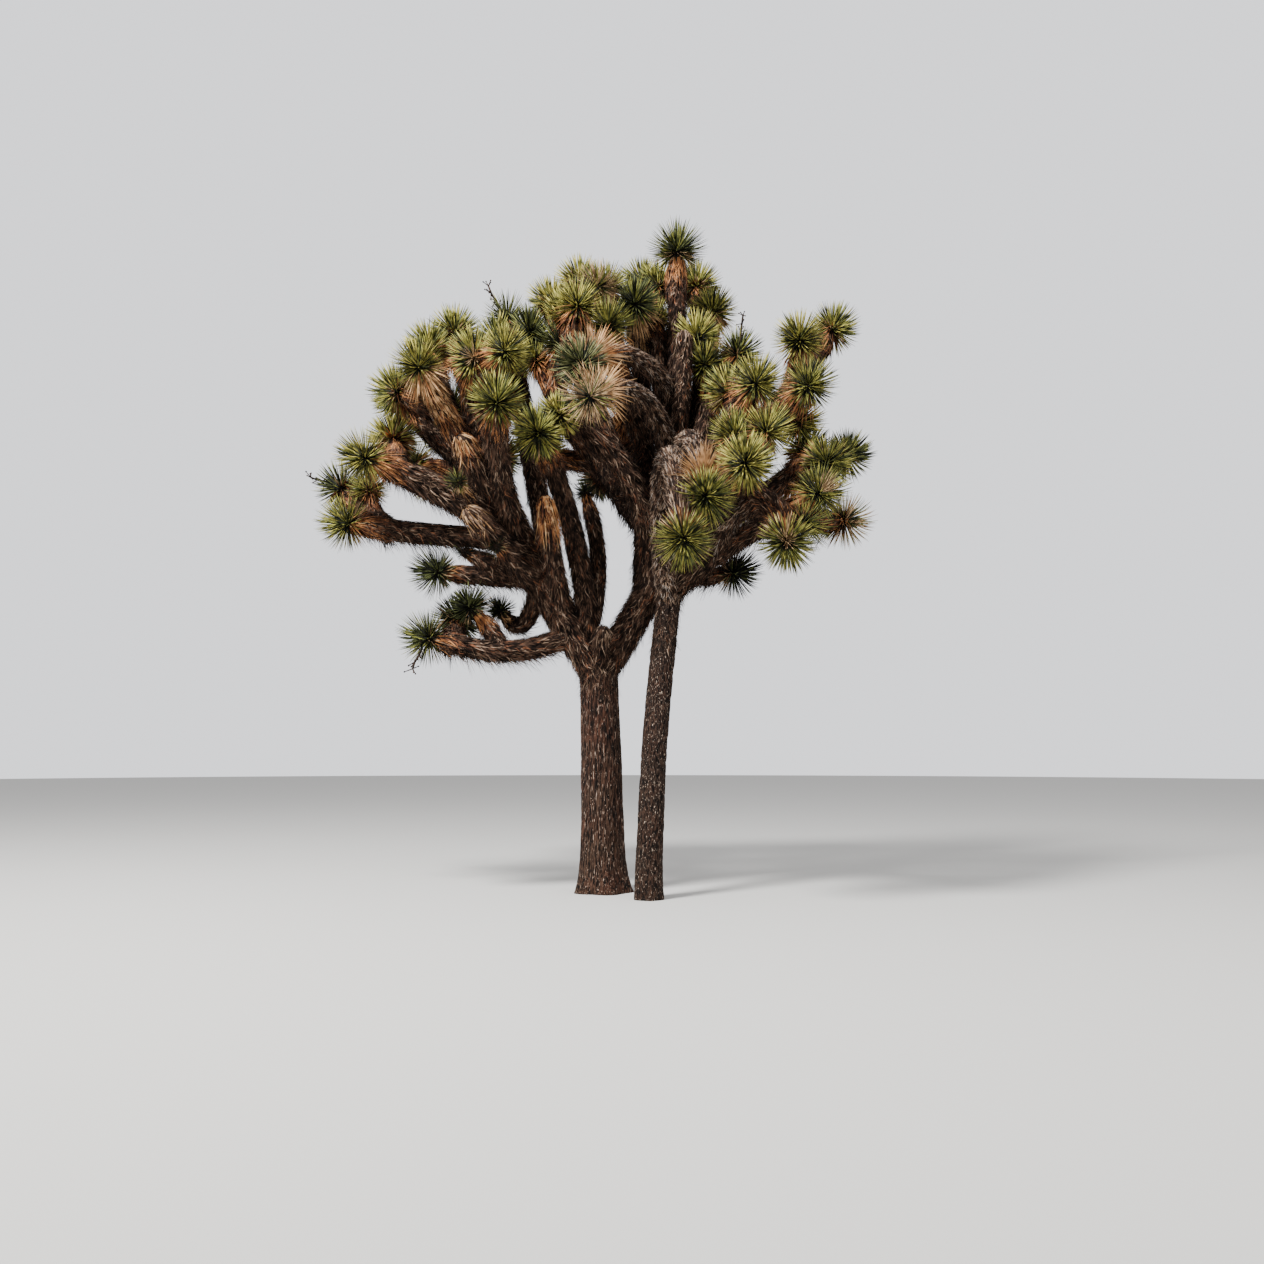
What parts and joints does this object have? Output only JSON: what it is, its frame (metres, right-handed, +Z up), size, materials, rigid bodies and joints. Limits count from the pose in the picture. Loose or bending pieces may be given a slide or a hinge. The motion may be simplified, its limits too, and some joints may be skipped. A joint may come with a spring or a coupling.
{
  "type": "joshua tree",
  "caption": "Desert tree with stout forking trunks, crooked boughs in coats of dead leaves, and balls of stiff spiky leaves at their ends.",
  "frame": {"origin": "middle of the flat cut under the stout trunk, at ground level", "axes": "+Z up, -Y towards the front of the tree as the picture sees it, +X to its right"},
  "size_m": [6.26, 4.4285, 7.462],
  "materials": {
    "bark": "dark corky furrowed bark",
    "thatch": "shaggy coat of dead leaves",
    "foliage": "stiff leaves with a dull waxy skin"
  },
  "bodies": {
    "root": {"trunk": "bark", "second_stem": "bark", "left_bough": "thatch", "centre_bough": "thatch", "left_arm": "thatch", "left_riser": "thatch", "low_arm": "thatch", "inner_riser": "thatch", "dead_stub_inner": "thatch", "dead_stub_low": "thatch", "dead_stub_left": "thatch", "dead_stub_fork": "thatch", "centre_riser": "thatch", "tall_stem": "thatch", "rear_riser": "thatch", "grey_stub": "thatch", "right_bough": "thatch", "right_riser": "thatch", "right_arch": "thatch", "right_arm": "thatch", "far_right_limb": "thatch", "front_hook": "thatch", "back_left": "thatch", "back_middle": "thatch", "back_right": "thatch", "foliage_far_left": "foliage", "foliage_left_low": "foliage", "foliage_left_shoulder": "foliage", "foliage_left_top": "foliage", "foliage_left_inner": "foliage", "foliage_young_shoot": "foliage", "foliage_level_arm": "foliage", "foliage_low_upturned": "foliage", "foliage_low_left": "foliage", "foliage_curled": "foliage", "foliage_inner_front": "foliage", "foliage_thin_arm": "foliage", "foliage_upper_left": "foliage", "foliage_mid_left": "foliage", "foliage_crown_left": "foliage", "foliage_crown_middle": "foliage", "foliage_crown_rear": "foliage", "foliage_top_hook": "foliage", "foliage_high_hook": "foliage", "foliage_leader": "foliage", "foliage_behind_leader": "foliage", "foliage_right_top": "foliage", "foliage_right_front": "foliage", "foliage_far_right_top": "foliage", "foliage_far_right_side": "foliage", "foliage_right_middle": "foliage", "foliage_right_arm_end": "foliage", "foliage_right_low": "foliage", "foliage_right_arch_end": "foliage", "foliage_small_hook": "foliage", "foliage_front_hook_end": "foliage", "foliage_under_right": "foliage", "foliage_back_left_end": "foliage", "foliage_back_middle_end": "foliage", "foliage_back_right_end": "foliage"}
  },
  "joints": []
}
